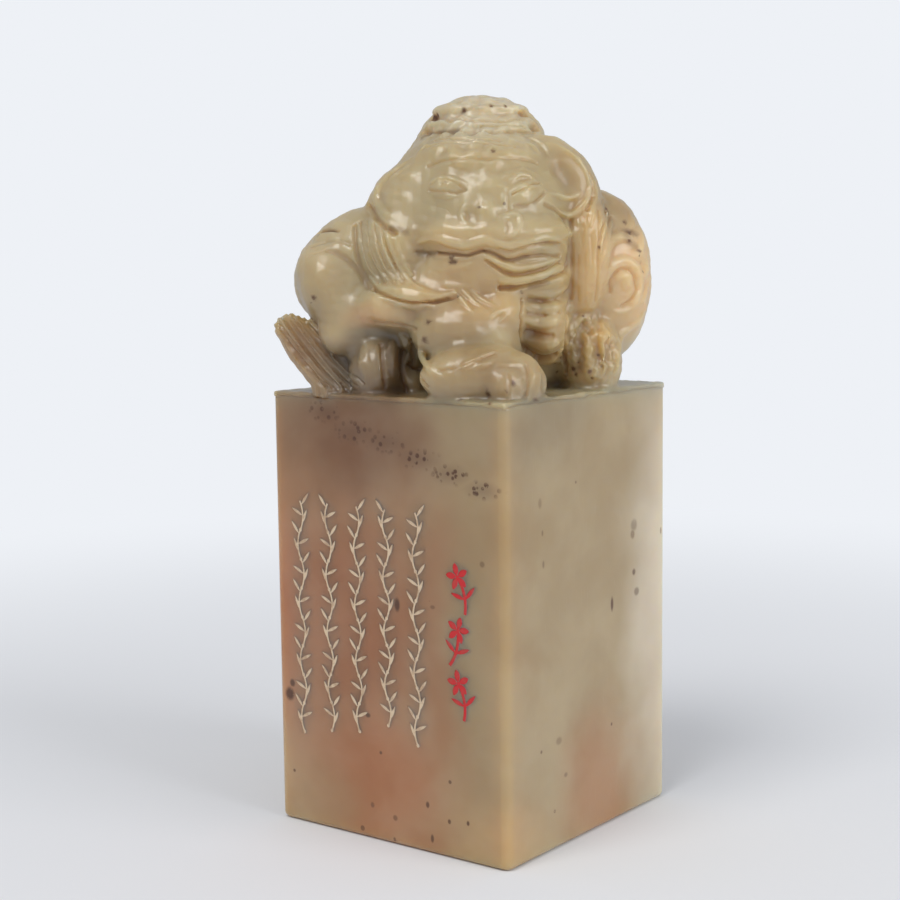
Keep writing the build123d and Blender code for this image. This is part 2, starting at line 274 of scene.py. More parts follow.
class Carving:
    """A fine mesh whose points are moved in and out along named lines."""

    def __init__(self, mesh):
        self.mesh = mesh
        self.skin = Skin(mesh)
        self.points = read_points(mesh)
        self.normals = read_points(mesh, "normal")
        self.rise = np.zeros(len(self.points))

    def line(self, view, width, rise, points, sharp=1.6):
        """Raises the stone, or cuts it where rise is negative, along these points of a view."""
        spots = self.skin.spots(view, points)
        if len(spots) < 2:
            return
        places = np.array([place for place, _ in spots])
        facing = np.array([normal for _, normal in spots])
        low = places.min(0) - width
        high = places.max(0) + width
        near = np.nonzero(((self.points > low) & (self.points < high)).all(1))[0]
        if not len(near):
            return
        there = self.points[near]
        gap = np.full(len(near), np.inf)
        for start, end, normal in zip(places[:-1], places[1:], facing[:-1]):
            run = end - start
            length = float(run @ run) + 1e-12
            along = np.clip((there - start) @ run / length, 0, 1)
            away = np.linalg.norm(there - start - along[:, None] * run, axis=1)
            away[self.normals[near] @ normal < least_facing] = np.inf
            gap = np.minimum(gap, away)
        share = np.clip(1 - gap / (width / 2), 0, 1)
        profile = np.sin(share * math.pi / 2) ** sharp
        if rise < 0:
            self.rise[near] = np.minimum(self.rise[near], rise * profile)
        else:
            self.rise[near] += rise * profile

    def dimple(self, view, width, rise, point):
        """Raises or sinks the stone round one point of a view."""
        x, y = point
        self.line(view, width, rise, [(x, y), (x + dimple_length, y)], dimple_sharpness)

    def ripple(self, wavelength, rise, seed, within=None):
        """A soft unevenness, such as hand work leaves."""
        chance = np.random.RandomState(seed)
        total = np.zeros(len(self.points))
        for _ in range(ripple_waves):
            direction = chance.normal(size=3)
            direction *= 2 * math.pi / wavelength / np.linalg.norm(direction)
            direction *= chance.uniform(*ripple_spread)
            total += np.sin(self.points @ direction + chance.uniform(0, 2 * math.pi))
        total *= rise / math.sqrt(ripple_waves)
        self.rise += total if within is None else total * within

    def near(self, view, point, radius):
        """A mask that is 1 round one point of a view and fades at this radius."""
        spots = self.skin.spots(view, [point])
        away = np.linalg.norm(self.points - np.array(spots[0][0]), axis=1)
        return np.clip(area_fade * (1 - away / radius), 0, 1)

    def finish(self):
        """Moves the points and hands the mesh back."""
        return write_points(self.mesh, self.points + self.normals * self.rise[:, None])


# Rolls of the beast: width and height in millimetres, points in pixels of the photograph

face_rolls = (
    # brows and forehead
    (1.1, 0.12, ((424, 183), (434, 176), (448, 173), (462, 176), (473, 184))),
    (1.1, 0.14, ((499, 184), (508, 176), (521, 171), (535, 173), (546, 183))),
    (0.8, 0.1, ((440, 156.5), (455, 154), (475, 153), (500, 153.5), (520, 155), (534, 159))),
    # left eye
    (0.5, 0.14, ((429, 184), (438, 180.5), (450, 179), (462, 181.5), (468, 186))),
    (1.3, 0.14, ((433, 188), (443, 187), (452, 187.5), (461, 190))),
    (0.25, 0.12, ((454, 181), (458, 185), (462, 191))),
    (0.25, 0.12, ((459, 179.5), (464, 184), (467, 190))),
    (0.35, 0.12, ((433, 194), (445, 197), (458, 196), (466, 192))),
    # right eye
    (0.5, 0.2, ((508, 186), (513, 178.5), (521, 174), (530, 176), (540, 186))),
    (0.4, 0.22, ((510, 192.5), (518, 188), (526, 183.5), (533, 181.5))),
    (0.35, 0.18, ((514, 196), (522, 191), (531, 186.5), (539, 185.5))),
    (1.4, 0.18, ((516, 202), (525, 200), (534, 195), (541, 190))),
    # bridge and nose
    (0.5, 0.08, ((486, 176), (485, 182), (485, 188))),
    (0.5, 0.1, ((504, 188), (503.5, 196), (503, 204), (504, 212))),
    (0.3, 0.08, ((512, 200), (511, 206), (511, 213))),
    (0.25, 0.1, ((491, 196), (493, 203), (493, 209))),
    (0.25, 0.1, ((483, 197), (480, 203), (479, 209))),
    (0.45, 0.18, ((496, 221), (503, 217), (512, 213.5), (519, 215), (521, 222), (517, 231),
                  (510, 237), (502, 235))),
    (0.5, 0.14, ((471, 203), (464, 207), (460, 214), (463, 221), (470, 224))),
    # upper lip, its second edge, the lower lip and the chin's edge
    (0.85, 0.32, ((415, 246), (421, 239.5), (434, 238), (444, 240), (455, 243.5), (467, 245),
                  (476, 243), (484, 240), (494, 243), (505, 247), (521, 245), (533, 240.5),
                  (546, 237), (558, 238), (566, 245), (568, 255))),
    (0.4, 0.18, ((500, 252.5), (510, 255), (520, 252), (532, 248.5), (545, 246.5), (557, 248.5),
                 (562, 253))),
    (0.55, 0.3, ((484, 256), (494, 260), (503, 265), (513, 268), (526, 267.5), (540, 264.5),
                 (552, 260.5), (562, 257))),
    (0.7, 0.3, ((494, 279), (505, 281.5), (518, 281.5), (532, 278.5), (545, 274.5), (556, 269),
                (564, 263))),
    (0.9, 0.16, ((424, 264), (438, 268), (452, 269), (466, 266), (478, 262))),
    (0.8, 0.12, ((428, 279), (444, 284), (460, 286), (476, 285))),
    # collar under the jaw
    (1.1, 0.16, ((368, 279), (378, 286), (390, 292), (403, 296), (417, 297.5), (432, 297),
                 (447, 296), (462, 292))),
    # locks of the beard
    (0.34, 0.24, ((453, 290), (459, 298), (466, 306), (473, 312))),
    (0.34, 0.24, ((461, 289), (468, 297), (476, 304), (485, 309))),
    (0.4, 0.2, ((470, 289), (478, 297), (487, 303), (496, 306))),
    (0.5, 0.22, ((488, 321), (494, 315), (500, 311), (507, 309))),
    (0.45, 0.2, ((497, 324), (503, 318), (509, 314))),
    (0.5, 0.2, ((522, 303), (528, 308), (533, 315), (536, 322))),
)

hair_rolls = (
    # left mane
    (0.4, 0.22, ((385, 221), (387, 232), (390, 244), (395, 258), (402, 272), (411, 283),
                 (423, 290), (436, 293))),
    (0.36, 0.2, ((379, 221), (381, 234), (384, 247), (389, 260), (396, 273), (406, 284),
                 (419, 292), (433, 296))),
    (0.36, 0.2, ((373, 220), (375, 235), (378, 249), (383, 263), (391, 276), (401, 287),
                 (414, 294), (428, 298))),
    (0.36, 0.2, ((367, 219), (368, 235), (371, 250), (377, 265), (385, 279), (396, 290),
                 (409, 296))),
    (0.36, 0.18, ((361, 220), (361, 235), (364, 251), (369, 266), (378, 281), (389, 292))),
    (0.4, 0.18, ((393, 230), (396, 243), (400, 256), (406, 268), (415, 278))),
    # left ear
    (0.7, 0.2, ((415, 155), (404, 163), (392, 172), (381, 183), (375, 193), (377, 203),
                (385, 213), (397, 223), (408, 229))),
    (0.35, 0.14, ((414, 162), (403, 169), (392, 178), (383, 188))),
    # right ear
    (0.6, 0.26, ((545, 140), (558, 145), (570, 153), (580, 163), (588, 175), (591.5, 188),
                 (588, 200), (580, 210), (569, 217), (558, 212), (548, 203))),
    (0.42, 0.22, ((548, 194), (556, 193.5), (563, 197.5), (571, 198), (578, 195.5), (583, 190))),
    (0.45, 0.2, ((588, 168), (594, 180), (596.5, 194), (593, 210), (590, 226), (588, 240))),
    (0.3, 0.14, ((577, 213), (579, 224), (580, 238), (580, 252))),
    (0.3, 0.14, ((584, 207), (586, 220), (586, 236), (585, 252))),
    # strands beside the hanging lock
    (0.32, 0.2, ((603, 205), (601, 218), (598, 232), (596, 248))),
    (0.32, 0.2, ((608, 209), (605, 224), (602, 240), (600, 254))),
    (0.32, 0.2, ((613, 220), (609, 235), (605, 249), (602, 262))),
    (0.32, 0.18, ((618, 230), (613, 242), (608, 254), (604, 266))),
    # strands from the crown to the right ear
    (0.36, 0.16, ((524, 136), (534, 138.5), (543, 144), (549, 152), (551, 161))),
    (0.36, 0.16, ((522, 142), (532, 145), (539, 151), (543, 160))),
    (0.36, 0.14, ((436, 140), (428, 143), (421, 149), (415, 156))),
)

body_rolls = (
    # fold of the haunch
    (1.1, 0.2, ((336, 244), (347, 250), (356, 261), (363, 275))),
    # band along the forearm
    (0.8, 0.2, ((370, 291), (383, 296), (397, 301), (410, 305), (421, 308))),
    # hind foot: toes and the ball above them
    (1.3, 0.3, ((366, 342), (363, 356), (365, 371), (369, 386))),
    (1.3, 0.34, ((392, 340), (393, 356), (394, 372), (395, 389))),
    (1.3, 0.55, ((398, 333), (404, 338), (409, 346), (411, 354))),
    # rim of the paw under the knee and the bands of the wrist
    (0.5, 0.3, ((419, 343), (421, 354), (426, 365), (434, 373), (444, 377))),
    (0.5, 0.22, ((446, 371), (460, 368), (474, 362), (487, 355), (499, 350))),
    (0.45, 0.2, ((462, 372), (476, 368), (490, 362), (504, 358.5))),
    (0.4, 0.16, ((488, 368), (503, 365), (518, 364), (529, 366))),
    # toes of the front paw
    (1.2, 0.2, ((531, 360), (536, 370), (537, 382), (534, 394))),
    (1.2, 0.14, ((514, 369), (518, 378), (519, 388), (517, 398))),
    # spiral on the shoulder
    (0.9, 0.26, ((603, 262), (606, 250), (612, 240), (621, 236), (630, 240), (637, 250))),
    (1.0, 0.26, ((606, 296), (605, 283), (609, 271), (616, 263), (625, 260), (634, 264),
                 (640, 275), (641, 289), (636, 302), (627, 311), (616, 313), (608, 306))),
    (1.1, 0.3, ((617, 286), (619, 279), (624, 275), (628, 277), (627, 285), (622, 292))),
    (0.7, 0.18, ((623, 298), (629, 296), (633, 289))),
    # rolls of the chest
    (0.9, 0.3, ((526, 291), (536, 294.5), (548, 294), (560, 290.5), (568, 286))),
    (1.0, 0.34, ((525, 304), (535, 308), (547, 308.5), (559, 306), (568, 301))),
    (1.0, 0.34, ((524, 319), (534, 322.5), (546, 323), (558, 321), (567, 316))),
    (1.1, 0.36, ((526, 339), (536, 344), (547, 345.5), (557, 343.5), (565, 337))),
    # ridges of the right paw
    (0.6, 0.35, ((567, 343), (571, 331), (575, 321), (584, 316), (591, 320))),
    (0.7, 0.35, ((588, 378), (591, 364), (588, 350), (585, 338), (589, 327))),
    (0.7, 0.3, ((572, 374), (575, 361), (574, 349), (570, 340))),
    (0.6, 0.3, ((603, 379), (604, 364), (602, 349), (601, 334), (604, 320))),
    (0.5, 0.25, ((614, 376), (617, 362), (619, 348), (623, 336))),
)

# Cut lines: width and rise in millimetres, points in pixels of the photograph

face_cuts = (
    # forehead
    (0.4, -0.12, ((428, 166), (442, 160.5), (462, 159), (490, 159.5), (520, 158.5), (537, 163))),
    # mouth and lips
    (0.4, -0.08, ((417, 252), (427, 253.5), (436, 253), (446, 254))),
    (0.45, -0.24, ((437, 253), (452, 254.5), (467, 256), (475, 253.5), (482, 251), (490, 252.5),
                   (498, 256.5), (506, 260), (513, 260.5), (525, 257), (542, 255), (560, 256))),
    (0.35, -0.16, ((500, 249.5), (511, 251.5), (521, 248.5), (534, 244.5), (547, 242.5),
                   (559, 244))),
    (0.4, -0.22, ((486, 261), (494, 266), (503, 272), (513, 275), (525, 274), (542, 269.5),
                  (561, 262))),
    (0.55, -0.4, ((500, 288), (512, 288), (526, 286), (540, 282.5), (553, 278), (565, 272))),
    # cheek
    (0.55, -0.2, ((546, 205), (556, 210), (564, 219), (569, 232), (570, 247), (568, 262),
                  (566, 272))),
    # lids
    (0.35, -0.15, ((430, 190.5), (443, 192), (456, 193), (465, 190))),
    (0.25, -0.1, ((431, 185.5), (438, 180.5), (447, 179.5), (456, 182.5), (464, 189))),
    (0.25, -0.18, ((512, 194.5), (522, 190), (533, 184.5), (540, 183.5))),
    (0.4, -0.14, ((514, 206), (526, 205), (537, 200), (545, 192))),
    # nose
    (0.3, -0.06, ((507.5, 190), (508, 200), (508, 210))),
    (0.6, -0.12, ((507, 223), (509, 226), (508, 230))),
    # balls of the eyes, raised
    (2.3, 0.3, ((440, 186), (448, 186.5))),
    (1.9, 0.22, ((522, 195), (530, 191))),
    # nostrils
    (0.5, -0.08, ((466, 213), (467, 218))),
    (0.3, -0.06, ((497, 213), (507, 211), (517, 208))),
)

hair_cuts = (
    (0.5, -0.36, ((372, 289), (383, 294), (396, 300), (410, 303.5), (424, 303), (437, 301.5),
                  (448, 299), (458, 295))),
    (0.3, -0.14, ((381, 225), (384, 240), (389, 254), (396, 268), (404, 280))),
    (0.3, -0.14, ((374, 224), (376, 240), (380, 254), (386, 268), (395, 281))),
    (0.3, -0.14, ((367, 222), (368, 238), (371, 254), (377, 268), (386, 282))),
    (0.3, -0.14, ((361, 222), (361, 238), (364, 254), (369, 268), (378, 283))),
    (0.6, -0.2, ((355, 226), (355, 240), (357, 254), (361, 268), (367, 280), (374, 289))),
    (0.7, -0.3, ((366, 196), (368, 206), (375, 217), (384, 226), (395, 233))),
    (0.4, -0.2, ((590, 174), (593.5, 186), (592, 199), (587, 210))),
    (0.5, -0.2, ((571, 221), (572, 240), (572, 260), (572, 280), (571, 298), (568, 312))),
    (0.4, -0.14, ((599, 212), (599.5, 232), (598.5, 256), (597.5, 280), (596, 300))),
    (0.3, -0.05, ((578, 255), (578, 275), (578, 300))),
    (0.3, -0.05, ((585, 255), (585, 275), (585, 303))),
    (0.3, -0.05, ((591, 235), (592, 265), (591, 300))),
    (0.35, -0.14, ((606, 211), (603, 226), (600, 242))),
    (0.35, -0.14, ((610.5, 217), (607, 232), (603, 248))),
    (2.2, -0.3, ((560, 170), (568, 182))),
    (0.3, -0.16, ((434, 139.8), (455, 139.4), (476, 139.6), (500, 140.5))),
    (0.28, -0.12, ((427, 147), (440, 144), (465, 143), (490, 144), (515, 147))),
    (0.3, -0.14, ((480, 125.8), (500, 125.6), (524, 127))),
    # chips at the crown's edges
    (1.0, -0.36, ((424.5, 131), (429, 132))),
    (0.9, -0.34, ((434, 118.5), (438, 119.5))),
    (0.9, -0.34, ((525, 113.5), (520, 114.5))),
    (1.0, -0.36, ((537, 127), (532, 128))),
    (0.5, -0.2, ((436, 119), (450, 121), (462, 118.5), (475, 121), (490, 119.5), (506, 121.5),
                 (522, 119))),
    (0.4, -0.16, ((430, 133), (446, 131.5), (462, 133), (480, 131.5), (500, 133), (520, 131),
                  (534, 133))),
)

body_cuts = (
    (0.35, -0.2, ((318, 233.5), (324, 231.5), (331, 230.5), (338, 231))),
    (0.5, -0.08, ((312, 246), (325, 242), (340, 241), (350, 244))),
    (0.5, -0.06, ((309, 256), (324, 251.5), (336, 251))),
    (0.7, -0.18, ((328, 251), (338, 253), (347, 258.5), (356, 267), (363, 278), (368, 288))),
    (0.45, -0.3, ((376, 323), (388, 323.5), (402, 325.5), (415, 329))),
    (0.5, -0.22, ((381, 345), (382, 357), (383, 372), (385, 387))),
    (0.5, -0.3, ((404, 352), (403, 366), (404, 380), (406, 391))),
    (0.5, -0.3, ((409, 364), (414, 367), (420, 369))),
    (0.5, -0.3, ((411, 340), (412, 352), (415, 365), (420, 376), (427, 386))),
    (0.4, -0.12, ((440, 370), (452, 369), (466, 364.5), (482, 358), (494, 353.5))),
    (0.4, -0.12, ((526, 366), (528, 374), (528, 385), (526, 396))),
    (0.4, -0.06, ((508, 375), (510, 383), (510, 392), (508, 399))),
    (0.5, -0.3, ((522, 300), (521, 315), (520, 330), (521, 341), (526, 349), (533, 356))),
    (0.6, -0.25, ((525, 331.5), (534, 333), (545, 335), (553, 336))),
    (1.1, -0.6, ((538, 359), (546, 360), (555, 357))),
    (0.5, -0.3, ((527, 352), (537, 356), (550, 356), (561, 350))),
    (0.35, -0.16, ((528, 299), (543, 301.5), (558, 298.5))),
    (0.35, -0.16, ((528, 313), (545, 315.5), (560, 312))),
    (0.5, -0.4, ((567, 314), (566, 328), (565, 344), (565, 360), (566, 374))),
    (0.4, -0.14, ((611, 292), (610, 281), (614, 273), (621, 268), (629, 269), (635, 278),
                  (636, 290), (631, 300), (622, 306))),
)

shown_rolls = face_rolls + hair_rolls + body_rolls
shown_cuts = face_cuts + hair_cuts + body_cuts

# Hidden sides: the compass angle they are seen from, and points across and up in millimetres

behind = Side(217.3)
behind_left = Side(262)
behind_right = Side(165)
from_left = Side(290)
from_right = Side(112)

# Steps of a spiral, the degrees between them and where it starts
spiral_steps = 17
spiral_turn = 40
spiral_start = 250

# Where the locks and strands lie, and how many of the others there are
mane_azimuths = range(136, 305, 9)
strand_azimuths = range(142, 307, 15)
spine_curls = 4
shoulder_flames = 5
hidden_toes = 3


def spiral(view, x, y, radius, side):
    """A spiral ridge with its outer end low, round a middle on a hidden side."""
    points = []
    for step in range(spiral_steps):
        angle = math.radians(spiral_start - spiral_turn * step)
        reach = radius * (1 - step / (spiral_steps + 2))
        points.append((x + side * reach * math.cos(angle), y + reach * math.sin(angle)))
    return view, 1.0, 0.3, points


def mane_lock(order, azimuth):
    """A lock from the crown down the neck, its lower end curled."""
    turn = 1 if azimuth < 220 else -1
    foot = 43.4 - 1.3 * (order % 2) - 1.6 * math.sin(math.radians(azimuth - 130))
    sway = 0.25 * math.sin(order * 1.7)
    return Side(azimuth), 1.0, 0.28, (
        (0, 50.4), (sway, 48.8), (-sway, 47.0), (sway, 45.2), (0.2 * turn, foot + 0.6),
        (0.8 * turn, foot), (1.3 * turn, foot + 0.4), (1.2 * turn, foot + 1.0))


def crown_strand(azimuth):
    """One of the strands twisted round the crown."""
    return Side(azimuth), 0.75, 0.17, (
        (-1.9, 55.1), (-1.3, 54.6), (-0.6, 53.7), (0.0, 52.7), (0.6, 51.6), (0.9, 50.6))


def spine_curl(order):
    """A curl across the spine, to one side and the other by turns."""
    top = 43.6 - 1.9 * order
    turn = 1 if order % 2 else -1
    return behind, 1.0, 0.26, (
        (-0.9 * turn, top), (0.2 * turn, top + 0.3), (1.1 * turn, top - 0.3),
        (1.2 * turn, top - 1.2), (0.4 * turn, top - 1.6), (-0.2 * turn, top - 1.1))


def shoulder_flame(order):
    """A flame along the back of the right shoulder."""
    low = 37.6 + 1.9 * order
    return from_right, 0.9, 0.24, ((0.6, low), (1.7, low + 0.5), (2.8, low + 1.5), (3.3, low + 2.9))


def hidden_toe(order):
    """A toe of the hidden hind foot."""
    toe = -3.2 + 1.2 * order
    return behind_right, 1.1, 0.24, ((toe, 36.2), (toe - 0.2, 35.4), (toe - 0.3, 34.6))


spine = (behind, 1.7, 0.5, (
    (-0.3, 46.0), (0.0, 44.4), (0.1, 42.8), (0.2, 41.0), (0.1, 39.2), (0.0, 37.6)))

# Each roll on the sides that the photograph doesn't show: view, width, height, points
hidden_rolls = (
    [mane_lock(order, azimuth) for order, azimuth in enumerate(mane_azimuths)]
    + [crown_strand(azimuth) for azimuth in strand_azimuths]
    + [spine]
    + [spine_curl(order) for order in range(spine_curls)]
    + [spiral(behind_left, -3.4, 39.8, 2.6, 1), spiral(behind_right, 2.6, 40.4, 2.5, -1),
       spiral(from_left, 1.2, 43.0, 2.3, 1)]
    + [shoulder_flame(order) for order in range(shoulder_flames)]
    + [hidden_toe(order) for order in range(hidden_toes)]
)


# Beast

# The forms that are melted into one flowing body, and the ones that masses or rolls stand for
flowing_nodes = ("torso", "rump", "left_haunch", "left_hock", "hind_foot", "left_forearm",
                 "front_knee", "front_paw", "right_shoulder", "right_paw", "head", "muzzle",
                 "lower_jaw", "left_ear", "right_ear", "right_mane", "neck_ruff", "back_mane",
                 "crown_lower")
replaced_nodes = ("crown_middle", "crown_top", "brow_ridge", "nose", "left_eye", "right_eye",
                  "left_mane", "chest_rings", "tail", "spine_ridge")

# The strands of the tail: the pixels of their tips and of their roots
tail_tips = ((281, 335), (277, 329), (276, 323), (279, 318), (284, 315), (290, 315), (296, 317),
             (302, 319), (308, 321), (313, 324))
tail_roots = ((318, 384), (324, 386), (330, 387), (336, 388), (342, 388), (348, 388), (354, 387),
              (360, 385), (366, 383), (371, 380))
tail_grooves = 8
tail_groove_steps = 8
tail_groove_width = 0.34
tail_groove_rises = (-0.16, -0.26)
# How far the tips and roots stand in front of the block's axis, in millimetres, how far a
# strand bows down between them, in pixels, and how far it drops at its root
tail_tip_depth = 3.3
tail_root_depth = 5.2
tail_bow = 3
tail_root_drop = Vector((0, 0, 0.9))
# How uneven the depth of the strands is, in millimetres
tail_wave = 0.12
# Radius of each of a strand's two layers, and how far it lies back, in millimetres
tail_layers = ((0.27, 0), (0.46, 0.42))
# Where a strand's points lie between its tip and its root, and how thick it is at each
strand_shares = (0, 0.07, 0.3, 0.55, 0.8, 1)
strand_thickness_shares = (0.5, 0.8, 1, 1, 1, 1, 0.9)


def in_front(x, y, depth):
    """The place on a pixel's ray that stands this far in front of the block's axis."""
    start, direction = photo.ray(x, y)
    outward = Vector((camera_back.x, camera_back.y, 0)).normalized()
    return start + direction * ((depth - start.dot(outward)) / direction.dot(outward))


def lay_tail(rolls):
    """The bundle of tail strands, from under the block's top up to the left."""
    for order, (tip, root) in enumerate(zip(tail_tips, tail_roots)):
        for radius, back in tail_layers:
            places = []
            for share in strand_shares:
                x = tip[0] + (root[0] - tip[0]) * share
                y = tip[1] + (root[1] - tip[1]) * share + tail_bow * math.sin(share * math.pi)
                depth = tail_tip_depth + (tail_root_depth - tail_tip_depth) * share
                ripple = tail_wave * math.sin(order * 2.4 + share * 5)
                places.append(in_front(x, y, depth - back + ripple))
            places.append(places[-1] - tail_root_drop)
            rolls.free(places, [radius * size for size in strand_thickness_shares])


def tail_groove(share):
    """The pixels of a line from the tail's tip to its root, at this share across it."""
    order = share * (len(tail_tips) - 2)
    before = int(order)
    tip = Vector(tail_tips[before]).lerp(Vector(tail_tips[before + 1]), order - before)
    root = Vector(tail_roots[before]).lerp(Vector(tail_roots[before + 1]), order - before)
    line = []
    for step in range(tail_groove_steps + 1):
        along = step / tail_groove_steps
        bow = Vector((0, tail_bow * math.sin(along * math.pi)))
        line.append(tuple(tip.lerp(root, along) + bow))
    return line


# Masses that fill the hollows between the CAD forms: middle in pixels, its depth in front of
# the block's axis, and the half sizes across, deep and high, in millimetres
flowing_masses = (
    ((479, 177), 0.4, (6.5, 6.6, 3.7), 0),      # forehead
    ((420, 193), 2.2, (2.7, 3.6, 2.7), 0),      # temple beside the left ear
    ((403, 195), 1.9, (1.9, 3.3, 1.7), 42),     # flap of the left ear
    ((492, 248), 2.9, (6.2, 6.0, 4.3), 0),      # lower face
    ((486, 214), 4.0, (2.2, 4.6, 2.0), 0),      # nose
    ((413, 210), 2.2, (2.7, 4.0, 3.3), 0),      # left cheek
    ((401, 250), 2.5, (3.1, 4.5, 3.8), 0),      # left side of the jaw
    ((453, 270), 3.0, (4.3, 4.8, 2.1), 0),      # chin
    ((452, 286), 3.4, (5.6, 4.6, 2.4), 0),      # throat
    ((497, 312), 4.4, (2.8, 5.0, 2.4), 0),      # neck over the knee
    ((488, 340), 4.9, (2.6, 5.4, 2.8), 0),      # lower leg
    ((331, 290), 1.9, (2.35, 4.2, 3.9), -21),   # haunch down to the hock
    ((341, 309), 2.0, (2.1, 4.3, 2.6), -15),    # knee of the hind leg
    ((364, 352), 0.6, (3.2, 4.2, 3.0), 0),      # under the haunch
    ((380, 340), 1.9, (2.7, 4.2, 2.3), 0),      # ankle
    ((401, 338), 2.9, (1.1, 3.4, 1.0), 0),      # ball of the ankle
    ((396, 330), 1.8, (2.6, 3.4, 2.6), 0),      # under the forearm
    ((372, 370), 1.6, (1.4, 4.2, 1.9), 0),      # outer toe
    ((395, 370), 1.8, (1.1, 4.2, 2.2), 0),      # middle toe
    ((413, 381), 2.8, (1.3, 3.6, 1.7), 0),      # inner toe
    ((408, 352), 2.1, (1.9, 3.8, 2.4), 0),      # heel
    ((546, 322), 2.4, (2.0, 4.5, 3.5), 0),      # chest
    ((481, 141), -1.0, (4.3, 4.4, 2.8), 0),     # under the crown
)
crisp_masses = (
    ((481, 137), -0.9, (4.95, 4.7, 1.5), 0),    # lower tier of the crown
    ((481, 127), -1.0, (4.5, 4.4, 1.05), 0),    # middle tier
    ((480, 119), -1.0, (3.6, 3.6, 1.75), 0),    # top of the crown
    ((480, 111.5), -1.0, (3.75, 3.6, 0.85), 0),  # its squarer rim
    ((478, 144.5), -0.9, (5.05, 4.7, 0.8), 0),  # band below the tiers
)


hidden_masses = (
    (behind_right, (2.6, 40.0), 5.3, (3.6, 4.0, 4.1)),     # right thigh
    (behind_right, (0.2, 36.8), 5.6, (2.2, 3.6, 2.4)),     # right hock
    (behind_right, (-0.8, 35.0), 6.6, (3.4, 2.8, 1.5)),    # right hind foot
    (behind_left, (-3.4, 39.8), 4.4, (3.8, 4.2, 3.9)),     # hip beside the rump
)
mass_subdivisions = 4


def ellipsoid(place, halves):
    """A rounded mass with these half sizes, put in place by a matrix."""
    lump = bmesh.new()
    bmesh.ops.create_icosphere(lump, subdivisions=mass_subdivisions, radius=1)
    bmesh.ops.transform(lump, matrix=place @ Matrix.Diagonal((*halves, 1)), verts=lump.verts)
    return mesh_of(lump, "mass")


def mass(middle, depth, halves, lean):
    """A rounded mass at a pixel's depth, leaning to the right by some degrees."""
    facing = Matrix.Rotation(math.atan2(camera_back.x, -camera_back.y), 4, "Z")
    leaning = Matrix.Rotation(math.radians(lean), 4, "Y")
    return ellipsoid(Matrix.Translation(in_front(*middle, depth)) @ facing @ leaning, halves)


def hidden_mass(view, spot, depth, halves):
    """A rounded mass on a hidden side, this far out from the axis."""
    facing = Matrix((view.across, -view.outward, Vector((0, 0, 1)))).transposed().to_4x4()
    centre = view.outward * depth + view.across * spot[0] + Vector((0, 0, spot[1]))
    return ellipsoid(Matrix.Translation(centre) @ facing, halves)


# Places where neighbouring bulges run together: pixel, radius in millimetres, passes
soft_spots = (
    ((421, 178), 3.2, 160), ((419, 203), 2.6, 120), ((436, 190), 2.6, 60),
    ((334, 268), 3.4, 160), ((343, 300), 2.8, 160), ((356, 320), 2.2, 80),
    ((452, 276), 2.4, 60), ((560, 178), 2.6, 80),
)
# How far a pass moves a point towards its neighbours' middle
soft_pull = 0.5


def softened(mesh):
    """Relaxes the mesh round the soft spots."""
    points = read_points(mesh)
    count = len(points)
    ends = np.empty(len(mesh.edges) * 2, dtype=np.int32)
    mesh.edges.foreach_get("vertices", ends)
    ends = ends.reshape(-1, 2)
    skin = Skin(mesh)
    for pixel, radius, passes in soft_spots:
        centre = np.array(skin.spots(photo, [pixel])[0][0])
        share = np.clip(2 - 2 * np.linalg.norm(points - centre, axis=1) / radius, 0, 1)
        inside = share > 0
        first, second = ends[inside[ends].any(1)].T
        degree = np.bincount(first, minlength=count) + np.bincount(second, minlength=count)
        degree = np.maximum(degree, 1)
        pull = soft_pull * share[inside, None]
        for _ in range(passes):
            means = np.column_stack([
                (np.bincount(first, points[second, axis], count)
                 + np.bincount(second, points[first, axis], count)) / degree
                for axis in range(3)])
            points[inside] += pull * (means[inside] - points[inside])
    return write_points(mesh, points)


# The low mound of stone that the beast stands on: half its side, the steps along a side, how
# uneven its edge is, its top and how deep it reaches into the block
mound_half = 10.93
mound_steps = 22
mound_wave = 0.05
mound_top = 33.72
mound_sunk = 0.3
mound_seed = 4


def mound_mesh():
    """A thin uneven slab over the block's top."""
    chance = np.random.RandomState(mound_seed)
    edge = []
    for turn in range(4):
        facing = Matrix.Rotation(turn * math.pi / 2, 4, "Z")
        for step in range(mound_steps):
            across = mound_half * (2 * step / mound_steps - 1)
            out = mound_half - mound_wave * abs(chance.normal())
            edge.append(facing @ Vector((across, -out, 0)))
    slab = bmesh.new()
    ring = [slab.verts.new((place.x, place.y, block_height - mound_sunk)) for place in edge]
    face = slab.faces.new(ring)
    raised = bmesh.ops.extrude_face_region(slab, geom=[face])["geom"]
    for vertex in (item for item in raised if isinstance(item, bmesh.types.BMVert)):
        vertex.co.z = mound_top
    bmesh.ops.triangulate(slab, faces=slab.faces)
    bmesh.ops.recalc_face_normals(slab, faces=slab.faces)
    return mesh_of(slab, "mound")


# Soft unevenness: wavelength and rise in millimetres, seed, and the pixel and the radius in
# millimetres that it keeps to
crown_area = ((481, 118), 6.5)
right_paw_area = ((596, 350), 3.8)
ripples = (
    (2.2, 0.03, 3, None),
    (0.9, 0.02, 5, None),
    (1.5, 0.07, 21, crown_area),
    (0.7, 0.04, 22, crown_area),
    (1.7, 0.12, 7, right_paw_area),
    (0.75, 0.08, 9, right_paw_area),
)


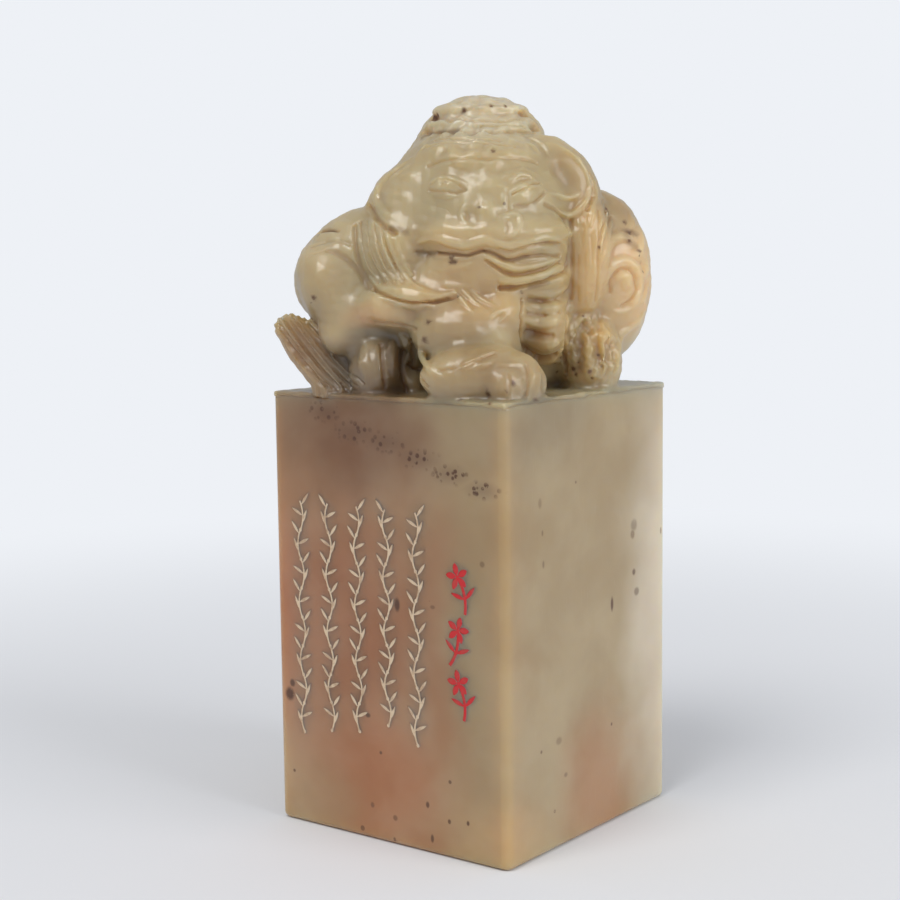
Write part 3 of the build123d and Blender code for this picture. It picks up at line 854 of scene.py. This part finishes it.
def beast_mesh():
    """The whole beast, carved, in millimetres."""
    flowing = [node_copy(name) for name in flowing_nodes]
    flowing += [mass(*one) for one in flowing_masses]
    flowing += [hidden_mass(*one) for one in hidden_masses]
    crisp = [mass(*one) for one in crisp_masses] + [mound_mesh()]
    base = softened(melted([filled(flowing)] + crisp, melt_voxel, crisp_passes))
    rolls = Rolls(Skin(base))
    for width, height, points in shown_rolls:
        rolls.lay(photo, width, height, points)
    for hidden_roll in hidden_rolls:
        rolls.lay(*hidden_roll)
    lay_tail(rolls)
    carving = Carving(melted([base, rolls.mesh()], carve_voxel, carve_passes))
    for width, rise, points in shown_cuts:
        carving.line(photo, width, rise, points)
    for order in range(tail_grooves):
        points = tail_groove((order + 0.5) / tail_grooves)
        carving.line(photo, tail_groove_width, tail_groove_rises[order % 2], points, sharp=1.2)
    for wavelength, rise, seed, area in ripples:
        within = carving.near(photo, *area) if area else None
        carving.ripple(wavelength, rise, seed, within)
    return carving.finish()


def thinned(mesh, faces):
    """The mesh with about this many triangles, the flat parts thinned most."""
    triangles = sum(len(face.vertices) - 2 for face in mesh.polygons)
    if triangles <= faces:
        return mesh
    lump = new_object("thin", mesh)
    decimate = lump.modifiers.new("decimate", "DECIMATE")
    decimate.ratio = faces / triangles
    return baked(lump, "thinned")


def stone_piece(mesh, name):
    """A carved mesh as a piece, in metres."""
    mesh.transform(Matrix.Scale(MM, 4))
    mesh.shade_smooth()
    mesh.name = name
    return new_object(name, mesh)


# Painted shade in the cut lines, and brown marks of the beast

# Brown specks: pixel and width in millimetres
knob_specks = (
    ((435, 118), 0.9), ((438, 115), 0.6), ((464, 110.5), 0.62), ((491, 106), 0.34),
    ((505, 106), 0.4), ((493, 151), 0.42), ((479, 207), 0.3), ((451, 258), 0.5),
    ((454, 262), 0.5), ((450, 263), 0.34), ((313.5, 298), 0.5), ((311, 301), 0.3),
    ((424.5, 339.7), 0.66), ((428, 322.5), 0.56), ((488, 394), 0.6), ((513, 382.6), 0.5),
    ((589.8, 371.9), 0.5), ((573, 368.8), 0.46), ((554.6, 363.5), 0.34), ((608, 212), 0.5),
    ((606, 209), 0.3), ((624.5, 222), 0.5), ((599, 247), 0.3), ((521, 292), 0.3),
    ((565, 350), 0.34), ((561, 357), 0.3), ((643, 272), 0.3), ((578, 362), 0.3),
    ((490, 403), 0.5), ((460, 400), 0.4), ((536, 399), 0.3), ((557, 371), 0.3),
    ((576, 375), 0.34), ((598, 355), 0.3), ((583, 316), 0.3), ((629, 233), 0.4),
    ((629, 241), 0.4), ((640, 251), 0.34), ((640, 262), 0.3), ((398, 394), 0.3),
    ((382, 380), 0.3), ((341, 383), 0.3), ((430, 337), 0.3), ((506, 392), 0.3),
    ((592, 378), 0.34), ((602, 366), 0.3), ((570, 378), 0.3),
)
# Brown lines: width, depth of colour, points
knob_streaks = (
    (0.5, 0.6, ((319, 234), (324, 232), (330, 231), (335, 231.5))),
    (0.6, 0.6, ((626, 231), (631, 232), (637, 234.5))),
    (0.9, 0.4, ((627, 237), (630, 243), (636, 247))),
    (0.4, 0.4, ((438, 252), (446, 253), (458, 255), (470, 255.5), (480, 252), (484, 250.5))),
    (0.4, 0.35, ((484, 250.5), (494, 253), (503, 258.5), (513, 260.5), (528, 256.5))),
    (0.6, 0.5, ((530, 287), (538, 285.5), (548, 282))),
    (0.6, 0.5, ((422, 137.5), (430, 135), (442, 133), (458, 131))),
    (0.6, 0.3, ((470, 107), (485, 105), (500, 107))),
    (0.6, 0.45, ((391, 228), (400, 229), (407, 233))),
    (0.5, 0.5, ((424, 302.5), (437, 300.5), (448, 298.5))),
    (0.7, 0.35, ((418, 252), (426, 254), (434, 253.5))),
    (0.8, 0.35, ((568, 330), (574, 344), (583, 358), (580, 370))),
    (0.8, 0.3, ((556, 352), (564, 362), (574, 370))),
)
# How much wider than its cut the painted shade along a cut line is, and how strong it is for each
# millimetre of depth
groove_shade_spread = 1.5
groove_shade_strength = 2.2
# How much wider a speck is painted, and how strong it is in its middle, where it stops at 1
speck_spread = 1.1
speck_strength = 1.5


def paint(mesh):
    """Writes how much painted shade the cut lines put on each point of the beast, and how brown the
    brown marks make it.
    """
    # the cut lines get painted shade, darker where they are cut deeper
    groove_shade = Carving(mesh)
    for width, rise, points in shown_cuts:
        if rise < 0:
            strength = min(1, -rise * groove_shade_strength)
            groove_shade.line(photo, width * groove_shade_spread, strength, points, sharp=1.0)
    mark = Carving(mesh)
    for spot, width in knob_specks:
        mark.dimple(photo, width * speck_spread, speck_strength, spot)
    for width, depth, points in knob_streaks:
        mark.line(photo, width, depth, points, sharp=1.0)
    for name, amounts in (("groove", groove_shade.rise), ("mark", mark.rise)):
        layer = mesh.attributes.new(name, "FLOAT", "POINT")
        layer.data.foreach_set("value", np.clip(amounts, 0, 1))


# Materials

def socket_group(name, inputs, outputs):
    """A new shader node group with these sockets."""
    group = bpy.data.node_groups.new(name, "ShaderNodeTree")
    for label, kind, value in inputs:
        made = group.interface.new_socket(label, in_out="INPUT", socket_type=kind)
        if value is not None:
            made.default_value = value
    for label, kind in outputs:
        group.interface.new_socket(label, in_out="OUTPUT", socket_type=kind)
    return group, group.nodes.new("NodeGroupInput"), group.nodes.new("NodeGroupOutput")


class Graph:
    """Short ways to add nodes to a shader tree: each input takes a socket or a value."""

    def __init__(self, tree):
        self.tree = tree

    def feed(self, socket, value):
        if isinstance(value, bpy.types.NodeSocket):
            self.tree.links.new(value, socket)
        else:
            socket.default_value = value

    def node(self, kind, inputs=(), **values):
        """A node with these settings, its inputs fed by name or number."""
        made = self.tree.nodes.new(kind)
        for key, value in values.items():
            setattr(made, key, value)
        for key, value in dict(inputs).items():
            self.feed(made.inputs[key], value)
        return made

    def maths(self, operation, *values, clamp=False):
        made = self.node("ShaderNodeMath", enumerate(values), operation=operation,
                         use_clamp=clamp)
        return made.outputs[0]

    def vector(self, operation, *values):
        made = self.node("ShaderNodeVectorMath", enumerate(values), operation=operation)
        return made.outputs["Value" if operation == "LENGTH" else "Vector"]

    def mix(self, share, first, second):
        colours = {"Factor": share, 6: first, 7: second}
        return self.node("ShaderNodeMix", colours, data_type="RGBA").outputs[2]

    def ramp(self, value, low, high):
        ends = {"Value": value, "From Min": low, "From Max": high}
        made = self.node("ShaderNodeMapRange", ends, interpolation_type="SMOOTHSTEP")
        return made.outputs["Result"]

    def noise(self, place, scale, detail, rough, distortion=0.0):
        return self.node("ShaderNodeTexNoise", {
            "Vector": place, "Scale": scale, "Detail": detail, "Roughness": rough,
            "Distortion": distortion}).outputs["Fac"]

    def cells(self, place, scale):
        return self.node("ShaderNodeTexVoronoi", {"Vector": place, "Scale": scale}).outputs

    def spot(self, place, centre, radii, soft=1.0):
        """1 at a centre, falling to 0 at these radii."""
        away = self.vector("DIVIDE", self.vector("SUBTRACT", place, centre), radii)
        return self.ramp(self.vector("LENGTH", away), 1.0, 1.0 - soft)

    def place(self):
        """The place on the object, in millimetres."""
        found = self.node("ShaderNodeTexCoord").outputs["Object"]
        return self.vector("MULTIPLY", found, (1 / MM, 1 / MM, 1 / MM))

    def bump(self, height, strength, distance):
        """The normal of a surface with this relief, its distance in metres."""
        return self.node("ShaderNodeBump", {
            "Strength": strength, "Distance": distance, "Height": height}).outputs[0]

    def mixed_shader(self, share, first, second):
        return self.node("ShaderNodeMixShader", {
            0: share, 1: first.outputs[0], 2: second.outputs[0]}).outputs[0]


def new_material(name):
    """A material, the graph of its nodes and its shader."""
    material = bpy.data.materials.new(name)
    material.use_nodes = True
    return material, Graph(material.node_tree), material.node_tree.nodes["Principled BSDF"]


def linear(red, green, blue):
    """A colour given as it is seen, 0 to 255, as the shader's linear one."""
    def one(value):
        share = value / 255
        return share / 12.92 if share <= 0.04045 else ((share + 0.055) / 1.055) ** 2.4
    return (one(red), one(green), one(blue), 1.0)


# Colours of the stone, 0 to 255 as they are seen
knob_colour = linear(180, 162, 121)
block_colour = linear(172, 150, 112)
stain_colour = linear(84, 46, 14)
# the painted shade in the cut lines
groove_shade_colour = linear(160, 120, 68)
pale_colour = linear(222, 214, 190)
deep_colour = linear(112, 84, 56)

# Zones of another colour, some of them painted light and shade: middle and half sizes in
# millimetres, colour, strength
tone_and_painted_light_zones = (
    # front of the block: brown-pink, a painted warm glow of the fingers that hold it and painted
    # shade of the hand, darker above, paler at the right edge and below
    ((-5, -11, 17), (19, 9, 21), linear(168, 102, 60), 0.9),
    ((-3, -11, 31), (15, 8, 6.5), linear(112, 64, 22), 0.8),
    ((9.5, -11, 18), (6, 6, 30), linear(166, 140, 98), 0.75),
    ((-9, -11, 1), (10, 7, 7), linear(176, 144, 102), 0.7),
    # painted warm glow of the thumb low on the front
    ((0, -11, 4), (10, 7, 11), linear(176, 102, 46), 0.7),
    ((10, -11, 1), (7, 7, 6), linear(190, 154, 104), 0.75),
    # right of the block: pale far edge, painted light from behind it; blush below, a painted warm
    # glow of the fingers
    ((11, 12, 17), (8, 10, 30), linear(220, 208, 186), 0.95),
    ((11, 1, 2.5), (8, 8, 10), linear(168, 106, 52), 0.7),
    ((11, -6, 32), (8, 8, 6), linear(140, 122, 92), 0.6),
    # knob
    # painted shade of the hand over the tail and the hind foot
    ((-8, -10, 37), (9, 9, 6), linear(130, 106, 80), 0.95),
    # painted shade under the belly, over the hind foot
    ((-1.9, -8.4, 35.5), (6.5, 6, 5), linear(88, 66, 42), 0.95),
    ((-5.6, -10.5, 42.5), (6, 6, 6), linear(172, 154, 118), 0.8),
    ((4, -8, 39.5), (4.5, 5, 4.5), linear(156, 130, 94), 0.8),
    # painted light under the forearm, where the stone lies in shade
    ((-1.4, -8.6, 39.6), (3.5, 5, 1.8), linear(204, 160, 114), 0.8),
    ((7.5, -8, 35.5), (6.5, 6, 4), linear(146, 120, 82), 0.8),
    ((11, 1, 37.3), (5, 5, 5), linear(150, 118, 66), 0.8),
    ((7, -3, 39), (4, 5, 5), linear(164, 128, 82), 0.6),
    ((4.8, -6.4, 42.7), (9, 7, 4.5), linear(200, 164, 112), 0.6),
    ((9.9, 1.3, 42.5), (3.4, 4.5, 8), linear(202, 166, 110), 0.75),
    ((12, 6, 42), (6, 7, 8), linear(226, 190, 140), 0.8),
    ((10.5, 6, 47.8), (5.5, 6, 4.5), linear(150, 122, 82), 0.7),
    ((9, 1, 51), (4.5, 4, 4), linear(164, 146, 108), 0.6),
    ((2.4, -1.9, 55.5), (8, 8, 4.5), linear(194, 182, 154), 0.8),
)

# Brown marks on the block's front and its right side: how far across and how high, half their
# width and height, all in millimetres, and their strength
front_marks = (
    (-9.8, 10.1, 0.62, 0.7, 1.0), (-9.5, 11.0, 0.36, 0.42, 0.9), (1.1, 18.4, 0.34, 0.7, 0.95),
    (-1.9, 9.6, 0.34, 0.24, 0.8), (-2.6, 10.4, 0.7, 1.2, 0.35), (4.4, 18.6, 0.3, 0.2, 0.5),
    (-1.6, 2.7, 0.25, 0.3, 0.6), (0.6, 2.1, 0.3, 0.3, 0.6), (3.7, 3.7, 0.22, 0.33, 0.9),
    (5.8, 5.8, 0.2, 0.2, 0.8), (5.7, 2.8, 0.2, 0.25, 0.9), (7.4, 3.0, 0.18, 0.25, 0.95),
    (0.5, 0.4, 0.18, 0.25, 0.8), (4.1, 1.2, 0.2, 0.43, 0.9), (-9.5, 4.0, 0.18, 0.18, 0.8),
    (-0.7, 6.9, 0.18, 0.18, 0.8), (8.9, 22.2, 0.3, 0.3, 0.5),
)
side_marks = (
    (2.9, 17.2, 0.26, 0.74, 0.95), (5.9, 22.2, 0.4, 0.5, 0.55), (6.1, 19.2, 0.32, 0.34, 0.8),
    (6.5, 17.6, 0.5, 0.44, 0.6), (-6.5, 24.0, 0.16, 0.3, 0.5), (-3.6, 5.4, 0.3, 0.24, 0.5),
    (6.1, 22.9, 0.62, 0.62, 0.45), (10.2, 21.9, 0.18, 0.38, 0.6), (-6.4, 21.7, 0.18, 0.38, 0.5),
    (-2.1, 27.2, 0.15, 0.15, 0.6), (-6.8, 26.2, 0.28, 0.5, 0.35), (-4.5, 8.2, 0.5, 0.38, 0.4),
    (-6.8, 7.9, 0.18, 0.18, 0.7), (2.8, 7.8, 0.18, 0.18, 0.8), (-5.1, 3.0, 0.18, 0.18, 0.7),
)
mark_depth = 0.8
block_marks = (
    [((across, -block_half, high), (wide, mark_depth, tall), strength)
     for across, high, wide, tall, strength in front_marks]
    + [((block_half, across, high), (mark_depth, wide, tall), strength)
       for across, high, wide, tall, strength in side_marks]
)
# The speckled vein across the front: the patches it runs through, in the same way
vein_patches = (
    (-5.6, 32.4, 2.4, 1.1), (-2.8, 31.0, 2.6, 1.2), (0.4, 30.4, 2.6, 1.1), (3.4, 29.3, 2.6, 1.1),
    (6.2, 28.4, 2.4, 1.0), (9.0, 27.5, 2.2, 0.9),
)
vein_depth = 1.5

# Patterns of the stone: how often each repeats in a millimetre
cloud_scale = 0.16
speck_scale = 0.42
grain_scale = 3.2
scratch_scale = (0.18, 9.0, 0.5)
scratch_turn = (0.5, 0.35, 0.5)
vein_scale = 1.9

# How far the zones' edges wander, in millimetres, and how much of a zone's reach fades out
zone_wander = 6
zone_fade = 0.85
mark_fade = 0.6
# Heights between which the block's colour turns into the knob's, in millimetres
knob_blend = (32.5, 36)
# Shares of the deep and the pale colour in the clouds
deep_share = 0.11
pale_share = 0.1
# The vein's speckles are stronger than its patches, and a weak haze lies between them
vein_strength = 1.6
vein_haze = 0.34


def clouds_group():
    """Soft clouds, specks, grain and scratches of the stone."""
    group, given, result = socket_group(
        "stone_clouds", [("Vector", "NodeSocketVector", None)],
        [("Cloud", "NodeSocketFloat"), ("Speck", "NodeSocketFloat"),
         ("Grain", "NodeSocketFloat"), ("Scratch", "NodeSocketFloat")])
    graph = Graph(group)
    place = given.outputs["Vector"]
    broad = graph.noise(place, cloud_scale, 3, 0.5, 0.2)
    graph.feed(result.inputs["Cloud"], graph.ramp(broad, 0.3, 0.7))
    # a few of the cells hold a dot of their own size
    cells = graph.cells(place, speck_scale)
    chance = graph.node("ShaderNodeSeparateColor", {0: cells["Color"]}).outputs["Red"]
    reach = graph.maths("MULTIPLY", graph.ramp(chance, 0.62, 1.0), 0.11)
    dots = graph.maths("SUBTRACT", reach, cells["Distance"])
    graph.feed(result.inputs["Speck"], graph.ramp(dots, -0.015, 0.02))
    graph.feed(result.inputs["Grain"], graph.noise(place, grain_scale, 3, 0.65))
    # hair-fine scratches
    slanted = graph.node("ShaderNodeMapping", {
        "Vector": place, "Rotation": scratch_turn, "Scale": scratch_scale}).outputs[0]
    marks = graph.ramp(graph.noise(slanted, 1.0, 1, 0.55), 0.66, 0.78)
    graph.feed(result.inputs["Scratch"], marks)
    return group


def zones_group():
    """The stone's colour from the place alone, some zones of it painted light and shade, before its
    brown marks and the painted shade of its cut lines.
    """
    group, given, result = socket_group(
        "tone_and_painted_light_zones", [("Vector", "NodeSocketVector", None), ("Cloud", "NodeSocketFloat", None)],
        [("Color", "NodeSocketColor")])
    graph = Graph(group)
    place = given.outputs["Vector"]
    height = graph.node("ShaderNodeSeparateXYZ", {0: place}).outputs["Z"]
    colour = graph.mix(graph.ramp(height, *knob_blend), block_colour, knob_colour)
    wobble = graph.noise(place, cloud_scale, 2, 0.5).node.outputs["Color"]
    centred = graph.vector("SUBTRACT", place, (zone_wander / 2,) * 3)
    shifted = graph.vector("MULTIPLY_ADD", wobble, (zone_wander,) * 3, centred)
    for centre, halves, tint, strength in tone_and_painted_light_zones:
        spot = graph.spot(shifted, centre, halves, zone_fade)
        colour = graph.mix(graph.maths("MULTIPLY", spot, strength), colour, tint)
    deep = graph.mix(deep_share, colour, deep_colour)
    pale = graph.mix(pale_share, colour, pale_colour)
    graph.feed(result.inputs["Color"], graph.mix(given.outputs["Cloud"], deep, pale))
    return group


def marks_group():
    """The brown marks and the speckled vein of the block."""
    group, given, result = socket_group(
        "block_marks", [("Vector", "NodeSocketVector", None), ("Grain", "NodeSocketFloat", None)],
        [("Mark", "NodeSocketFloat")])
    graph = Graph(group)
    place = given.outputs["Vector"]
    total = 0.0
    for centre, halves, strength in block_marks:
        mark = graph.maths("MULTIPLY", graph.spot(place, centre, halves, mark_fade), strength)
        total = graph.maths("MAXIMUM", total, mark)
    ragged = graph.maths("MULTIPLY", total, graph.ramp(given.outputs["Grain"], 0.2, 0.42))
    vein = 0.0
    for across, high, wide, tall in vein_patches:
        patch = graph.spot(place, (across, -block_half, high), (wide, vein_depth, tall))
        vein = graph.maths("MAXIMUM", vein, patch)
    dots = graph.ramp(graph.cells(place, vein_scale)["Distance"], 0.48, 0.24)
    chosen = graph.ramp(given.outputs["Grain"], 0.28, 0.46)
    speckles = graph.maths("MULTIPLY", graph.maths("MULTIPLY", vein, vein_strength, clamp=True),
                           graph.maths("MULTIPLY", dots, chosen))
    vein_total = graph.maths("MAXIMUM", speckles, graph.maths("MULTIPLY", vein, vein_haze))
    graph.feed(result.inputs["Mark"], graph.maths("MAXIMUM", ragged, vein_total))
    return group


# The stone's shader, and how much each pattern changes it
stone_look = {
    "IOR": 1.54,
    "Subsurface Weight": 1.0,
    "Subsurface Radius": (1.0, 0.74, 0.45),
    "Subsurface Scale": 0.0048,
    "Coat Roughness": 0.14,
}
# how strongly the painted shade colours the cut lines
groove_shade_share = 0.42
speck_share = 0.7
brown_share = 0.95
stone_roughness = 0.24
coat_weight = 0.28
stone_relief = 0.00003
pigment_relief = 0.00004
pigment_roughness = 0.6
pigment_wear = 0.75


def stone_material():
    """Waxy, slightly translucent soapstone."""
    material, graph, shader = new_material("stone")
    for name, value in stone_look.items():
        shader.inputs[name].default_value = value
    place = graph.place()
    clouds = graph.node("ShaderNodeGroup", {"Vector": place}, node_tree=clouds_group()).outputs
    zones = graph.node("ShaderNodeGroup", {"Vector": place, "Cloud": clouds["Cloud"]},
                       node_tree=zones_group()).outputs
    marks = graph.node("ShaderNodeGroup", {"Vector": place, "Grain": clouds["Grain"]},
                       node_tree=marks_group()).outputs
    groove = graph.node("ShaderNodeAttribute", attribute_name="groove").outputs["Fac"]
    painted = graph.node("ShaderNodeAttribute", attribute_name="mark").outputs["Fac"]

    # painted shade in the cut lines, darker and warmer where they are deeper
    colour = graph.mix(graph.maths("MULTIPLY", groove, groove_shade_share), zones["Color"],
                       groove_shade_colour)
    brown = graph.maths("MAXIMUM", marks["Mark"],
                        graph.maths("MULTIPLY", clouds["Speck"], speck_share))
    brown = graph.maths("MAXIMUM", brown, painted)
    colour = graph.mix(graph.maths("MULTIPLY", brown, brown_share), colour, stain_colour)
    graph.feed(shader.inputs["Base Color"], colour)

    rough = graph.maths("MULTIPLY_ADD", clouds["Grain"], 0.2, stone_roughness)
    rough = graph.maths("ADD", rough, graph.maths("MULTIPLY", groove, 0.15))
    rough = graph.maths("ADD", rough, graph.maths("MULTIPLY", brown, 0.1))
    graph.feed(shader.inputs["Roughness"], rough)
    coat = graph.maths("SUBTRACT", coat_weight, graph.maths("MULTIPLY", groove, 0.18))
    graph.feed(shader.inputs["Coat Weight"], coat)
    relief = graph.maths("SUBTRACT", graph.maths("MULTIPLY", clouds["Grain"], 0.35),
                         graph.maths("MULTIPLY", clouds["Scratch"], 0.5))
    relief = graph.maths("SUBTRACT", relief, graph.maths("MULTIPLY", brown, 0.3))
    graph.feed(shader.inputs["Normal"], graph.bump(relief, 0.35, stone_relief))
    return material


def pigment_material(name, colour, worn_colour):
    """Matt pigment in the engraving, uneven and worn in places."""
    material, graph, shader = new_material(name)
    place = graph.place()
    grain = graph.noise(place, 5.0, 4, 0.6)
    wear = graph.ramp(graph.noise(place, 1.1, 4, 0.65), 0.42, 0.66)
    worn = graph.mix(graph.maths("MULTIPLY", wear, pigment_wear), colour, worn_colour)
    graph.feed(shader.inputs["Base Color"], worn)
    rough = graph.maths("MULTIPLY_ADD", grain, 0.3, pigment_roughness)
    graph.feed(shader.inputs["Roughness"], rough)
    graph.feed(shader.inputs["Normal"], graph.bump(grain, 0.5, pigment_relief))
    return material


# Stage

def aimed_light(name, place, target, size, power, colour=(1, 1, 1)):
    """A round soft light at a place in metres that faces a target."""
    data = bpy.data.lights.new(name, "AREA")
    data.shape = "DISK"
    data.size = size
    data.energy = power
    data.color = colour
    lamp = new_object(name, data)
    lamp.location = place
    lamp.rotation_euler = (Vector(target) - Vector(place)).to_track_quat("-Z", "Y").to_euler()


backdrop_colour = linear(238, 241, 246)
floor_colour = linear(232, 234, 238)
floor_half = 1.5
# Distances from the object between which the floor fades into the backdrop, in metres
floor_fade = (0.03, 0.16)


def floor_material():
    """A pale floor that runs out into the backdrop's colour away from the object."""
    material, graph, shader = new_material("floor")
    shader.inputs["Base Color"].default_value = floor_colour
    shader.inputs["Roughness"].default_value = 0.9
    away = graph.vector("LENGTH", graph.node("ShaderNodeTexCoord").outputs["Object"])
    camera_ray = graph.node("ShaderNodeLightPath").outputs["Is Camera Ray"]
    glow = graph.node("ShaderNodeEmission", {"Color": backdrop_colour})
    share = graph.maths("MULTIPLY", graph.ramp(away, *floor_fade), camera_ray)
    output = material.node_tree.nodes["Material Output"]
    graph.feed(output.inputs["Surface"], graph.mixed_shader(share, shader, glow))
    return material


def set_stage():
    """Floor, world, lights and camera."""
    scene = bpy.context.scene
    scene.view_settings.view_transform = "Standard"

    floor_shape = bmesh.new()
    bmesh.ops.create_grid(floor_shape, x_segments=1, y_segments=1, size=floor_half)
    floor = new_object("floor", mesh_of(floor_shape, "floor"))
    floor.data.materials.append(floor_material())

    world = bpy.data.worlds.new("studio")
    scene.world = world
    world.use_nodes = True
    graph = Graph(world.node_tree)
    studio = world.node_tree.nodes["Background"]
    studio.inputs["Color"].default_value = (0.94, 0.96, 1.0, 1)
    studio.inputs["Strength"].default_value = 0.5
    seen = graph.node("ShaderNodeBackground", {"Color": backdrop_colour})
    camera_ray = graph.node("ShaderNodeLightPath").outputs["Is Camera Ray"]
    output = world.node_tree.nodes["World Output"]
    graph.feed(output.inputs["Surface"], graph.mixed_shader(camera_ray, studio, seen))

    aimed_light("window", (0.0, -0.27, 0.44), (0, 0, 0.04), 0.24, 0.95, (1.0, 0.98, 0.95))
    aimed_light("side", (0.46, 0.02, 0.22), (0, 0, 0.03), 0.3, 0.9)

    camera_data = bpy.data.cameras.new("camera")
    camera_data.sensor_width = sensor_width
    camera_data.lens = photo_focal / photo_size * sensor_width
    camera_data.clip_start = 0.01
    camera = new_object("camera", camera_data)
    turned = Matrix((camera_right, camera_up, camera_back)).transposed().to_4x4()
    camera.matrix_world = Matrix.Translation(camera_place * MM) @ turned
    scene.camera = camera


# Making

set_stage()
stone = stone_material()
materials = {
    "stone": stone,
    "cream_pigment": pigment_material("cream_pigment", linear(224, 200, 168),
                                      linear(188, 154, 122)),
    "red_pigment": pigment_material("red_pigment", linear(206, 42, 46), linear(186, 74, 66)),
}

for part in frame["record"]["subparts"]:
    node = frame["nodes"][part["node"]]
    node.data.materials.clear()
    node.data.materials.append(materials[part["material_slot"]])

beast_skin = thinned(beast_mesh(), carving_triangles)
paint(beast_skin)
beast = stone_piece(beast_skin, "carved_beast")
beast.data.materials.append(stone)
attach(beast, "root")
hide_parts(*flowing_nodes, *replaced_nodes)
